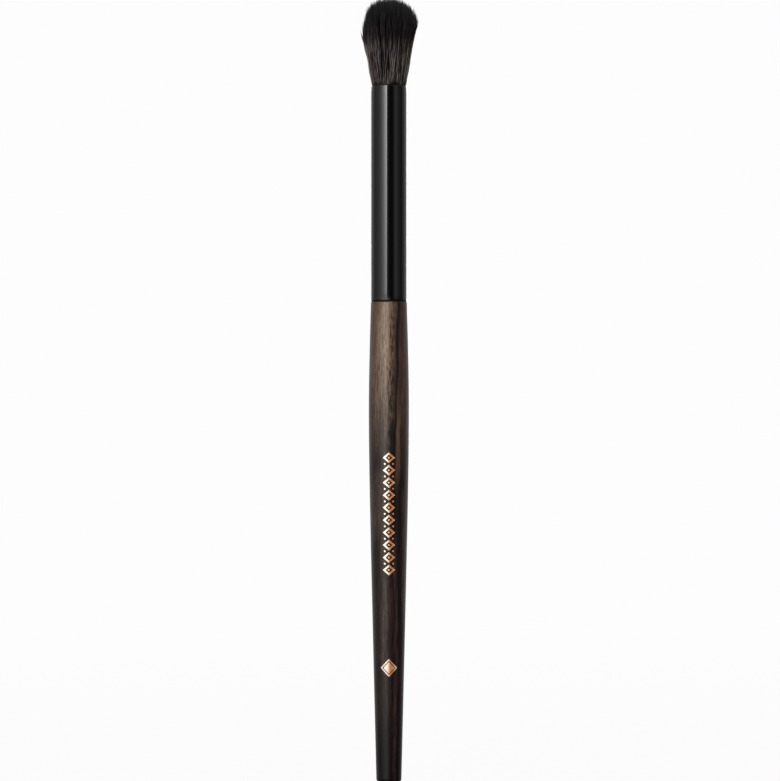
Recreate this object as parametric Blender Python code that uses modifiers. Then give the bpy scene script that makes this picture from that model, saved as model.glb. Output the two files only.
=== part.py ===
"""Blending brush for eye make-up: turned wooden handle, lacquered aluminium ferrule and flared tuft of hair.

The brush stands upright. The origin is the centre of the handle's flat end, and +Z runs up it to the hair.
Each piece is one object, in metres: handle, tenon_glue, ferrule, root_plug, root_binding and hair_tuft.
"""

import math

import bmesh
import bpy

# Handle
HANDLE_LENGTH = 0.10705
BUTT_RADIUS = 0.00279
BUTT_EDGE_RADIUS = 0.0007
BELLY_HEIGHT = 0.0829
BELLY_RADIUS = 0.00448
NECK_RADIUS = 0.00401
SHOULDER_EDGE_RADIUS = 0.00025
TENON_LENGTH = 0.014
TENON_CHAMFER = 0.0005
TENON_LAND_LENGTH = 0.0022

# How softly the swell rounds over, as shares of the run from the belly to the butt and to the neck
BUTT_SOFTNESS_SHARE = 0.2
NECK_SOFTNESS_SHARE = 0.6

# Ferrule
FERRULE_LENGTH = 0.0478
FERRULE_RADIUS = 0.00398
FERRULE_WALL = 0.0003
MOUTH_TURN_IN = 0.00008
MOUTH_TURN_LENGTH = 0.002
FERRULE_EDGE_RADIUS = 0.00012
EDGE_LIMIT_SHARE = 0.4

# Adhesive, resin and thread inside the ferrule
GLUE_THICKNESS = 0.0003
PLUG_LENGTH = 0.0105
PLUG_EDGE = 0.0006
THREAD_DIAMETER = 0.0004
THREAD_PITCH = 0.00085
THREAD_TURNS = 4

# Hair
HAIR_REACH = 0.01985
HAIR_BELLY_REACH = 0.0139
HAIR_BELLY_RADIUS = 0.0062
HAIR_FLARE_POWER = 1.3
ROOT_SLICE_DEPTH = 0.0016
ROOT_SLICE_THICKNESS = 0.001
STRAND_COUNT = 360
STRAND_SIDES = 3
STRAND_ROOT_RADIUS = 0.0001
STRAND_BODY_RADIUS = 0.00016
STRAND_TIP_RADIUS = 0.00008
TIP_UNEVENNESS = 0.0007
STRAND_BEND_SHARES = (0.0, 0.48, 1.0)

# Clearances between pieces
SEAT_GAP = 0.0003
FIT_GAP = 0.0002

# Roundness
TURNED_STEPS = 40
CORNER_STEPS = 3
SWELL_STEPS = 12
THREAD_STEPS = 18
WELD_DISTANCE = 0.000001

# Places that follow from the sizes above
GOLDEN_ANGLE = math.pi * (3.0 - math.sqrt(5.0))
UNEVEN_STEP_SHARE = 0.7548777
BORE_RADIUS = FERRULE_RADIUS - FERRULE_WALL
TENON_RADIUS = BORE_RADIUS - FIT_GAP
TENON_TOP = HANDLE_LENGTH + TENON_LENGTH
FERRULE_BASE = HANDLE_LENGTH + SEAT_GAP
MOUTH_HEIGHT = FERRULE_BASE + FERRULE_LENGTH
SLICE_TOP = MOUTH_HEIGHT - ROOT_SLICE_DEPTH
SLICE_BASE = SLICE_TOP - ROOT_SLICE_THICKNESS
SLICE_RADIUS = BORE_RADIUS - MOUTH_TURN_IN - FIT_GAP
PLUG_TOP = SLICE_BASE - SEAT_GAP
PLUG_BASE = PLUG_TOP - PLUG_LENGTH
PLUG_RADIUS = BORE_RADIUS - FIT_GAP


def clear_scene():
    """Removes every object, so that the script gives the same brush each time it is run."""
    for found in list(bpy.data.objects):
        bpy.data.objects.remove(found)


def new_collection(name):
    """A collection in the scene for the pieces or the helpers."""
    collection = bpy.data.collections.new(name)
    bpy.context.scene.collection.children.link(collection)
    return collection


def new_material(name, colour, roughness, metallic):
    """A Principled material of one colour."""
    material = bpy.data.materials.new(name)
    material.use_nodes = True
    shader = material.node_tree.nodes["Principled BSDF"]
    shader.inputs["Base Color"].default_value = (*colour, 1.0)
    shader.inputs["Roughness"].default_value = roughness
    shader.inputs["Metallic"].default_value = metallic
    return material


def lacquered_wood():
    """Dark streaked wood under a satin lacquer."""
    return new_material("lacquered_wood", (0.045, 0.030, 0.024), 0.35, 0.0)


def black_lacquer():
    """Gloss black lacquer on aluminium."""
    return new_material("black_lacquer", (0.012, 0.012, 0.013), 0.12, 0.0)


def dark_hair():
    """Near-black natural hair."""
    return new_material("dark_hair", (0.030, 0.024, 0.021), 0.6, 0.0)


def set_resin():
    """Amber resin that holds the roots."""
    return new_material("set_resin", (0.35, 0.22, 0.08), 0.3, 0.0)


def white_glue():
    """Adhesive on the tenon."""
    return new_material("white_glue", (0.75, 0.73, 0.66), 0.5, 0.0)


def waxed_thread():
    """Pale thread round the roots."""
    return new_material("waxed_thread", (0.60, 0.54, 0.42), 0.7, 0.0)


def corner(centre_x, centre_z, radius, start_degrees, end_degrees):
    """Points (x, z) of a round corner about its centre, from one angle to the other."""
    points = []
    for step in range(CORNER_STEPS + 1):
        angle = math.radians(start_degrees + (end_degrees - start_degrees) * step / CORNER_STEPS)
        points.append((centre_x + radius * math.cos(angle), centre_z + radius * math.sin(angle)))
    return points


def rounded_taper(way_share, softness_share):
    """How far a swell has fallen away, from 0 at the belly to 1 at the far end: a taper with a soft start."""
    def fall(share):
        return math.sqrt(1.0 + (share / softness_share) ** 2) - 1.0

    return fall(way_share) / fall(1.0)


def handle_radius(height):
    """The outer radius of the handle at a height between its end and its shoulder."""
    if height >= BELLY_HEIGHT:
        way_share = (height - BELLY_HEIGHT) / (HANDLE_LENGTH - BELLY_HEIGHT)
        return BELLY_RADIUS - (BELLY_RADIUS - NECK_RADIUS) * rounded_taper(way_share, NECK_SOFTNESS_SHARE)
    way_share = (BELLY_HEIGHT - height) / BELLY_HEIGHT
    return BELLY_RADIUS - (BELLY_RADIUS - BUTT_RADIUS) * rounded_taper(way_share, BUTT_SOFTNESS_SHARE)


def turn(name, points, material, collection, closed=False):
    """Turns an outline of (x, z) points about Z. An open outline starts and ends on the axis."""
    mesh = bpy.data.meshes.new(name)
    edges = [(first, first + 1) for first in range(len(points) - 1)]
    if closed:
        edges.append((len(points) - 1, 0))
    mesh.from_pydata([(x, 0.0, z) for x, z in points], edges, [])
    mesh.materials.append(material)
    piece = bpy.data.objects.new(name, mesh)
    collection.objects.link(piece)
    screw = piece.modifiers.new("Turn", "SCREW")
    screw.axis = "Z"
    screw.steps = TURNED_STEPS
    screw.render_steps = TURNED_STEPS
    screw.use_smooth_shade = True
    screw.use_merge_vertices = True
    screw.merge_threshold = WELD_DISTANCE
    return piece


def handle(collection):
    """The turned handle: tenon with a glue recess, shoulder, swelling grip and flat end."""
    recess_radius = TENON_RADIUS - GLUE_THICKNESS - FIT_GAP
    recess_top = TENON_TOP - TENON_LAND_LENGTH
    recess_base = HANDLE_LENGTH + TENON_LAND_LENGTH
    points = [
        (0.0, TENON_TOP),
        (TENON_RADIUS - TENON_CHAMFER, TENON_TOP),
        (TENON_RADIUS, TENON_TOP - TENON_CHAMFER),
        (TENON_RADIUS, recess_top),
        (recess_radius, recess_top),
        (recess_radius, recess_base),
        (TENON_RADIUS, recess_base),
        (TENON_RADIUS, HANDLE_LENGTH),
    ]
    shoulder_start = HANDLE_LENGTH - SHOULDER_EDGE_RADIUS
    shoulder_centre = handle_radius(shoulder_start) - SHOULDER_EDGE_RADIUS
    points += corner(shoulder_centre, shoulder_start, SHOULDER_EDGE_RADIUS, 90.0, 0.0)
    for step in range(1, SWELL_STEPS + 1):
        height = shoulder_start + (BELLY_HEIGHT - shoulder_start) * step / SWELL_STEPS
        points.append((handle_radius(height), height))
    for step in range(1, SWELL_STEPS):
        height = BELLY_HEIGHT + (BUTT_EDGE_RADIUS - BELLY_HEIGHT) * step / SWELL_STEPS
        points.append((handle_radius(height), height))
    butt_centre = handle_radius(BUTT_EDGE_RADIUS) - BUTT_EDGE_RADIUS
    points += corner(butt_centre, BUTT_EDGE_RADIUS, BUTT_EDGE_RADIUS, 0.0, -90.0)
    points.append((0.0, 0.0))
    return turn("handle", points, lacquered_wood(), collection)


def tenon_glue(collection):
    """The sleeve of adhesive that fills the recess of the tenon."""
    outer = TENON_RADIUS
    inner = TENON_RADIUS - GLUE_THICKNESS
    top = TENON_TOP - TENON_LAND_LENGTH - SEAT_GAP
    base = HANDLE_LENGTH + TENON_LAND_LENGTH + SEAT_GAP
    points = [(outer, top), (outer, base), (inner, base), (inner, top)]
    return turn("tenon_glue", points, white_glue(), collection, closed=True)


def ferrule(collection):
    """The aluminium tube, seated on the handle's shoulder and turned in a little at its mouth."""
    edge = min(FERRULE_EDGE_RADIUS, FERRULE_WALL * EDGE_LIMIT_SHARE)
    mouth_outer = FERRULE_RADIUS - MOUTH_TURN_IN
    mouth_inner = BORE_RADIUS - MOUTH_TURN_IN
    turn_height = MOUTH_HEIGHT - MOUTH_TURN_LENGTH
    points = corner(mouth_outer - edge, MOUTH_HEIGHT - edge, edge, 90.0, 0.0)
    points.append((FERRULE_RADIUS, turn_height))
    points += corner(FERRULE_RADIUS - edge, FERRULE_BASE + edge, edge, 0.0, -90.0)
    points.append((BORE_RADIUS, FERRULE_BASE))
    points.append((BORE_RADIUS, turn_height))
    points += corner(mouth_inner + edge, MOUTH_HEIGHT - edge, edge, 180.0, 90.0)
    return turn("ferrule", points, black_lacquer(), collection, closed=True)


def root_plug(collection):
    """The set resin round the roots, with a groove where the thread draws them in."""
    groove_radius = PLUG_RADIUS - THREAD_DIAMETER - SEAT_GAP
    half_groove = THREAD_PITCH * THREAD_TURNS / 2 + THREAD_DIAMETER / 2 + SEAT_GAP
    middle = PLUG_BASE + PLUG_LENGTH / 2
    points = [
        (0.0, PLUG_TOP),
        (PLUG_RADIUS, PLUG_TOP),
        (PLUG_RADIUS, middle + half_groove),
        (groove_radius, middle + half_groove),
        (groove_radius, middle - half_groove),
        (PLUG_RADIUS, middle - half_groove),
        (PLUG_RADIUS, PLUG_BASE + PLUG_EDGE),
        (PLUG_RADIUS - PLUG_EDGE, PLUG_BASE),
        (0.0, PLUG_BASE),
    ]
    return turn("root_plug", points, set_resin(), collection)


def poly_spline(curve, points, radii):
    """Adds one open run of straight pieces, with a thickness factor at each point, to a curve."""
    spline = curve.splines.new("POLY")
    spline.points.add(len(points) - 1)
    for point, place, radius in zip(spline.points, points, radii):
        point.co = (*place, 1.0)
        point.radius = radius


def root_binding(collection):
    """The thread wound in a helix in the groove of the plug."""
    wound_radius = PLUG_RADIUS - THREAD_DIAMETER / 2
    base = PLUG_BASE + PLUG_LENGTH / 2 - THREAD_PITCH * THREAD_TURNS / 2
    points = []
    for step in range(THREAD_TURNS * THREAD_STEPS + 1):
        angle = math.tau * step / THREAD_STEPS
        height = base + THREAD_PITCH * step / THREAD_STEPS
        points.append((wound_radius * math.cos(angle), wound_radius * math.sin(angle), height))
    gap = math.dist(points[0], points[THREAD_STEPS]) - THREAD_DIAMETER
    print(f"root_binding: least gap between its turns {gap * 1000:.3f} mm")
    curve = bpy.data.curves.new("root_binding", "CURVE")
    curve.dimensions = "3D"
    curve.bevel_depth = THREAD_DIAMETER / 2
    curve.bevel_resolution = 1
    curve.use_fill_caps = True
    poly_spline(curve, points, [1.0] * len(points))
    curve.materials.append(waxed_thread())
    piece = bpy.data.objects.new("root_binding", curve)
    collection.objects.link(piece)
    return piece


def hair_spread(height, root_spread, body_spread):
    """The outermost strand's distance from the axis at a height: straight in the mouth, then flaring."""
    way_share = min(max((height - MOUTH_HEIGHT) / HAIR_BELLY_REACH, 0.0), 1.0)
    return body_spread - (body_spread - root_spread) * (1.0 - way_share) ** HAIR_FLARE_POWER


def strand_points(number):
    """One strand: a place on a sunflower spiral, carried outwards by the flare, up to the dome."""
    spread_share = math.sqrt((number + 0.5) / STRAND_COUNT)
    angle = number * GOLDEN_ANGLE
    uneven_share = number * UNEVEN_STEP_SHARE % 1.0
    dome_height = HAIR_REACH - HAIR_BELLY_REACH
    tip = MOUTH_HEIGHT + HAIR_BELLY_REACH + dome_height * math.sqrt(1.0 - spread_share**2)
    tip -= TIP_UNEVENNESS * uneven_share * spread_share
    heights = [SLICE_TOP - ROOT_SLICE_THICKNESS / 2]
    heights += [MOUTH_HEIGHT + (tip - MOUTH_HEIGHT) * share for share in STRAND_BEND_SHARES]
    root_spread = SLICE_RADIUS - 2 * STRAND_ROOT_RADIUS
    body_spread = HAIR_BELLY_RADIUS - STRAND_TIP_RADIUS
    points = []
    for height in heights:
        radius = spread_share * hair_spread(height, root_spread, body_spread)
        points.append((radius * math.cos(angle), radius * math.sin(angle), height))
    return points


def strand_section(collection):
    """The small flat ring, a polygon of a few sides, that is carried along each strand."""
    curve = bpy.data.curves.new("strand_section", "CURVE")
    spline = curve.splines.new("POLY")
    spline.points.add(STRAND_SIDES - 1)
    for number, point in enumerate(spline.points):
        angle = math.tau * number / STRAND_SIDES
        point.co = (STRAND_BODY_RADIUS * math.cos(angle), STRAND_BODY_RADIUS * math.sin(angle), 0.0, 1.0)
    spline.use_cyclic_u = True
    section = bpy.data.objects.new("strand_section", curve)
    section.hide_render = True
    section.display_type = "WIRE"
    collection.objects.link(section)
    return section


def strands(helpers):
    """All the strands of hair as one mesh of separate closed bodies, to be joined to their slice of resin."""
    curve = bpy.data.curves.new("strands", "CURVE")
    curve.dimensions = "3D"
    curve.bevel_mode = "OBJECT"
    curve.bevel_object = strand_section(helpers)
    curve.use_fill_caps = True
    root_factor = STRAND_ROOT_RADIUS / STRAND_BODY_RADIUS
    tip_factor = STRAND_TIP_RADIUS / STRAND_BODY_RADIUS
    for number in range(STRAND_COUNT):
        poly_spline(curve, strand_points(number), [root_factor, root_factor, 1.0, tip_factor])
    guide = bpy.data.objects.new("strands", curve)
    helpers.objects.link(guide)
    evaluated = guide.evaluated_get(bpy.context.evaluated_depsgraph_get())
    mesh = bpy.data.meshes.new_from_object(evaluated)
    closed = bmesh.new()
    closed.from_mesh(mesh)
    bmesh.ops.remove_doubles(closed, verts=closed.verts, dist=WELD_DISTANCE)
    bmesh.ops.recalc_face_normals(closed, faces=closed.faces)
    closed.to_mesh(mesh)
    closed.free()
    cutter = bpy.data.objects.new("strands", mesh)
    cutter.matrix_world = guide.matrix_world
    cutter.hide_render = True
    cutter.display_type = "WIRE"
    helpers.objects.link(cutter)
    bpy.data.objects.remove(guide)
    return cutter


def hair_tuft(collection, helpers):
    """The strands of hair, joined to the slice of resin that they stand in."""
    points = [(0.0, SLICE_TOP), (SLICE_RADIUS, SLICE_TOP), (SLICE_RADIUS, SLICE_BASE), (0.0, SLICE_BASE)]
    piece = turn("hair_tuft", points, dark_hair(), collection)
    join = piece.modifiers.new("Join strands", "BOOLEAN")
    join.operation = "UNION"
    join.solver = "EXACT"
    join.object = strands(helpers)
    return piece


def main():
    """Models the brush."""
    clear_scene()
    collection = new_collection("blending_brush")
    helpers = new_collection("cutters")
    handle(collection)
    tenon_glue(collection)
    ferrule(collection)
    root_plug(collection)
    root_binding(collection)
    hair_tuft(collection, helpers)


main()
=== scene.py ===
import math

import bpy
import numpy as np
from bpy.props import FloatProperty, FloatVectorProperty, IntProperty, PointerProperty
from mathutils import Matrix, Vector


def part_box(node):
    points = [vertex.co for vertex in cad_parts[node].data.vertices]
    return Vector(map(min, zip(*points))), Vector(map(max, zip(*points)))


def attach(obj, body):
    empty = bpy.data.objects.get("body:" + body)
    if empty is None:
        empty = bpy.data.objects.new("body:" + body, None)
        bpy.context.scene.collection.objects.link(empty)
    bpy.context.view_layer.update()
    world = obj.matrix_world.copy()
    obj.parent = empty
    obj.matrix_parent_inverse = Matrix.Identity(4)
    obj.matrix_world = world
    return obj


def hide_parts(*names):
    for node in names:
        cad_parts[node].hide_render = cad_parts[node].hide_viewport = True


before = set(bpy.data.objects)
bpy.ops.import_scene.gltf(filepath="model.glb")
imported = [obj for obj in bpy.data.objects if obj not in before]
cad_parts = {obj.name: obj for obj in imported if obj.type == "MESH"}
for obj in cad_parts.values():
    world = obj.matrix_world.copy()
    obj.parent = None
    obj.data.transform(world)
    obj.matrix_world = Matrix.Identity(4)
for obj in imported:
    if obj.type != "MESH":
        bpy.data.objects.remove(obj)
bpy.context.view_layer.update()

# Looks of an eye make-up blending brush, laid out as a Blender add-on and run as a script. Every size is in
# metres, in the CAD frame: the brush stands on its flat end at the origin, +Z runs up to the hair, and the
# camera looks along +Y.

bl_info = {
    "name": "Blending brush looks",
    "version": (1, 0, 0),
    "blender": (4, 5, 0),
    "location": "3D View > Sidebar > Blending brush",
    "description": "Builds the visible surfaces, finishes, light and camera of an eye make-up blending brush",
    "category": "Object",
}

BODY = "root"
MM = 0.001
GOLDEN_ANGLE = math.pi * (3 - math.sqrt(5))
WHITE = (1.0, 1.0, 1.0)
BAKE_MAP = "OFBake"
STRAND_MAP = "strand_map"

FERRULE_LOW, FERRULE_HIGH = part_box("ferrule")
HANDLE_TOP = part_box("handle")[1]
HAIR_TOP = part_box("hair_tuft")[1].z
MOUTH = FERRULE_HIGH.z

# The order that turns a quad round and keeps its first corner.
TURNED_ROUND = [0, 3, 2, 1]

# The opening of the larger lozenge of foil and its solid middle, as shares of it.
TAIL_OPENING, TAIL_MIDDLE = 0.79, 0.66

# How the hair is laid out: the depth of the roots below the mouth, the steps up a strand, the hairs in a
# cover lock or wisp, and the shares of the strands at which one nested layer ends and the next begins.
ROOT_DEPTH = 1.4 * MM
STRAND_STEPS = np.array([0.0, 0.02, 0.09, 0.22, 0.36, 0.52, 0.68, 0.84, 1.0])
HAIRS_EACH = 4
LAYER_ENDS = np.array([0.3, 0.6, 0.87])

# How unruly the hair is: how far a lock's tips stand up and drift and how far its wave swings; how high one
# strand's tip ends, how far it drifts and how it waves; how far cover locks turn and stand off, as shares of
# their radius; and how far wisps bend out, anywhere and on the frayed flank.
LOCK_RISE, LOCK_DRIFT, LOCK_WAVE = 0.00022, 0.00012, 0.00013
STRAND_RISE, STRAND_DRIFT, STRAND_WAVE, STRAND_TURNS = (-0.0004, 0.0001), 0.0001, 0.00005, 1.6
COVER_SLIDE, COVER_STAND = 0.06, 0.028
WISP_BEND, FRAYED_BEND = (0.0, 0.0003), (0.0001, 0.0006)

# The seeds of the random draws: one that all strands share, the first layer's, and those of the loose hair.
LOCK_SEED, LAYER_SEED, COVER_SEED, WISP_SEED = 5, 11, 23, 29

# The strand map: how many columns it has, the height that it covers and the place of the mouth on it.
MAP_COLUMNS = 256
MAP_HEIGHT = 20.5 * MM
MAP_MOUTH = 0.02

# How bright the studio's walls are, as degrees from the camera's side, positive to the right, and strength.
# The upper ring is seen level and upwards, and the lower one downwards. Ramps hold them over WALL_SCALE.
WALL_SCALE = 3
UPPER_WALLS = (
    (-180, 0.6), (-125, 0.53), (-100, 0.3), (-78, 0.5), (-58, 0.9), (-43, 1.1), (-19, 1.1), (-12, 0.25),
    (-4, 0.15), (3, 0.04), (22, 0.03), (32, 0.2), (45, 0.6), (60, 0.3), (85, 0.1), (113, 0.4), (130, 0.65),
    (180, 0.6),
)
LOWER_WALLS = (
    (-180, 0.8), (-128, 0.8), (-88, 0.22), (-60, 0.8), (-42, 2.1), (-25, 2.7), (-10, 2.6), (-2, 1.5),
    (7, 0.3), (17, 0.03), (30, 0.06), (42, 0.12), (60, 0.02), (80, 0.0), (103, 0.06), (117, 0.5),
    (135, 0.75), (180, 0.8),
)


# Settings

def length(name, description, default):
    """A length in metres that the panel shows."""
    return FloatProperty(
        name=name, description=description, default=default, min=0.0, precision=6, subtype="DISTANCE",
        unit="LENGTH",
    )


def number(name, description, default, highest=1.0):
    """A plain number from 0 up that the panel shows."""
    return FloatProperty(name=name, description=description, default=default, min=0.0, max=highest)


def whole(name, description, default, lowest=0, highest=13000):
    """A whole number that the panel shows."""
    return IntProperty(name=name, description=description, default=default, min=lowest, max=highest)


def colour(name, description, default):
    """A linear colour that the panel shows."""
    return FloatVectorProperty(
        name=name, description=description, default=default, size=3, min=0.0, max=1.0, subtype="COLOR",
    )


class HandleSettings(bpy.types.PropertyGroup):
    """Sizes and colours of the turned wooden handle."""

    shoulder_height: length("Shoulder height", "From the flat end to the shoulder under the ferrule", 0.10705)
    belly_height: length("Belly height", "Where the handle is thickest", 0.0829)
    belly_radius: length("Belly radius", "Radius where the handle is thickest", HANDLE_TOP.x)
    neck_radius: length("Neck radius", "Radius at the shoulder", 0.00401)
    end_radius: length("End radius", "Radius that the lower taper runs down to", 0.00279)
    end_rounding: length("End rounding", "Radius of the rounded edge of the flat end", 0.0007)
    shoulder_rounding: length("Shoulder rounding", "Radius of the rounded edge of the shoulder", 0.00025)
    tenon_radius: length("Tenon radius", "Radius of the tenon inside the ferrule", 0.00348)
    glue_recess: length("Glue recess", "Depth of the recess that holds the adhesive", 0.0005)
    tenon_land: length("Tenon land", "Height of each plain land at the ends of the recess", 0.0022)
    pale_wood: colour("Pale wood", "The lightest streaks near the top", (0.255, 0.167, 0.111))
    brown_wood: colour("Brown wood", "The ground colour", (0.118, 0.066, 0.040))
    red_wood: colour("Red wood", "The reddish streaks", (0.076, 0.034, 0.025))
    black_wood: colour("Black wood", "Veins, pores and the dark lower part", (0.0068, 0.0036, 0.0032))
    lacquer_roughness: number("Lacquer roughness", "Roughness of the satin coat", 0.28)


class FerruleSettings(bpy.types.PropertyGroup):
    """Sizes and finish of the lacquered aluminium ferrule."""

    wall: length("Wall", "Thickness of the tube", 0.0003)
    mouth_turn_in: length("Turn-in", "How far the edge at the mouth is turned in", 0.00008)
    mouth_turn_length: length("Turn-in length", "Length over which the edge is turned in", 0.002)
    edge_rounding: length("Edge rounding", "Radius of the rounded edges of the tube", 0.00012)
    seat_inset: length("Seat inset", "How far the dark line under the ferrule lies inside its edge", 0.00007)
    lacquer: colour("Lacquer", "Colour of the black lacquer", (0.0012, 0.0012, 0.0013))
    lacquer_roughness: number("Lacquer roughness", "Roughness of the gloss lacquer", 0.074)


class FoilSettings(bpy.types.PropertyGroup):
    """Sizes and colour of the plain copper foil ornament."""

    lozenges: whole("Lozenges", "Number of open lozenges in the row", 10, lowest=1, highest=40)
    top: length("Top", "Height of the middle of the first lozenge", 0.0724)
    pitch: length("Pitch", "Distance between the middles of the lozenges", 0.00277)
    half_width: length("Half width", "Half of a lozenge's width across the handle", 0.00138)
    half_height: length("Half height", "Half of a lozenge's height along the handle", 0.0012)
    opening: number("Opening", "Size of a lozenge's opening, as a share of the lozenge", 0.56)
    seed: number("Middle", "Size of the solid lozenge in the middle, as a share of the open one", 0.2)
    dot_radius: length("Dot radius", "Radius of the dots on both sides of the row", 0.00021)
    dot_offset: length("Dot offset", "From the middle of the row to the dots", 0.00092)
    tail_height: length("Tail height", "Height of the middle of the single larger lozenge below", 0.0257)
    tail_width: length("Tail half width", "Half of the larger lozenge's width", 0.0019)
    tail_rise: length("Tail half height", "Half of the larger lozenge's height", 0.002)
    lift: length("Lift", "How far the film stands above the wood", 0.000012)
    copper: colour("Copper", "Colour of the foil where it is darkest", (0.93, 0.34, 0.11))
    # The pale copper is a painted highlight: it stands in for the softboxes' reflections in the film.
    highlight_copper: colour("Pale copper", "Colour of the foil where it is palest", (0.98, 0.82, 0.66))
    roughness: number("Roughness", "Roughness of the foil", 0.16)


class HairSettings(bpy.types.PropertyGroup):
    """Sizes and colours of the hair."""

    strands: whole("Strands", "Strands in the tuft", 12000, lowest=30)
    locks: whole("Locks", "Fine locks that the strands run in", 430, lowest=10)
    cover_locks: whole("Cover locks", "Thin locks that cross over the others", 140)
    cover_girth: number("Cover girth", "Thickness of a cover lock's hairs, against the others", 1.2, 4.0)
    wisps: whole("Wisps", "Wisps of hair that stand away from the tuft", 120)
    strand_radius: length("Strand radius", "Radius of a strand at its thickest", 0.00004)
    root_radius: length("Root spread", "Radius of the bundle inside the mouth", 0.00355)
    belly_radius: length("Belly radius", "Radius of the tuft where it is widest", 0.00600)
    belly_reach: length("Belly reach", "Height of the widest place above the mouth", 0.0139)
    reach: length("Reach", "Height of the top of the dome above the mouth", HAIR_TOP - MOUTH)
    lean_share: number("Lean", "How far the widest place leans to one side, as a share of its radius", 0.11)
    root_colour: colour("Root colour", "Colour just above the ferrule", (0.077, 0.063, 0.058))
    middle_colour: colour("Middle colour", "Colour half way up", (0.038, 0.031, 0.0285))
    tip_colour: colour("Tip colour", "Colour of the upper half, up to the tips", (0.0064, 0.004, 0.0057))
    brown_colour: colour("Brown colour", "Colour of the browner locks", (0.078, 0.040, 0.030))
    # The colour of the painted rim light on both flanks of the tuft.
    rim_light_colour: colour("Pale colour", "Colour of the faded hair on the flanks", (0.32, 0.27, 0.235))


class StageSettings(bpy.types.PropertyGroup):
    """Floor, lamps and camera."""

    camera_distance: length("Camera distance", "From the camera to the brush's axis", 0.735)
    camera_height: length("Camera height", "Height of the camera", 0.0873)
    camera_side: length("Camera side", "How far the camera stands to the right", 0.000245)
    lens: number("Lens", "Focal length on a 36 mm sensor, in mm", 151.86, highest=1000.0)
    floor_radius: length("Floor radius", "Radius of the pale floor", 0.6)
    backdrop: number("Backdrop", "Brightness of the white backdrop, where 1 is white", 0.982)
    shadow_share: number("Shadow share", "How strongly the floor shows shadows", 0.05)
    key_power: number("Key power", "Power of the left softbox, in watts", 22.0, highest=1000.0)
    surround: number("Surround", "Brightness of the studio's walls in reflections", 0.5, highest=4.0)


# Shader maths

def operators(operation):
    """A Python operator on terms and its reflected form, which both add a Math node of this operation."""
    return (
        lambda term, other: term.finish.maths(operation, term, other),
        lambda term, other: term.finish.maths(operation, other, term),
    )


class Term:
    """One output of a node. An expression on terms is written as a plain sum and adds its Math nodes."""

    def __init__(self, finish, socket):
        self.finish = finish
        self.socket = socket

    __add__, __radd__ = operators("ADD")
    __sub__, __rsub__ = operators("SUBTRACT")
    __mul__, __rmul__ = operators("MULTIPLY")
    __truediv__, __rtruediv__ = operators("DIVIDE")


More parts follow.
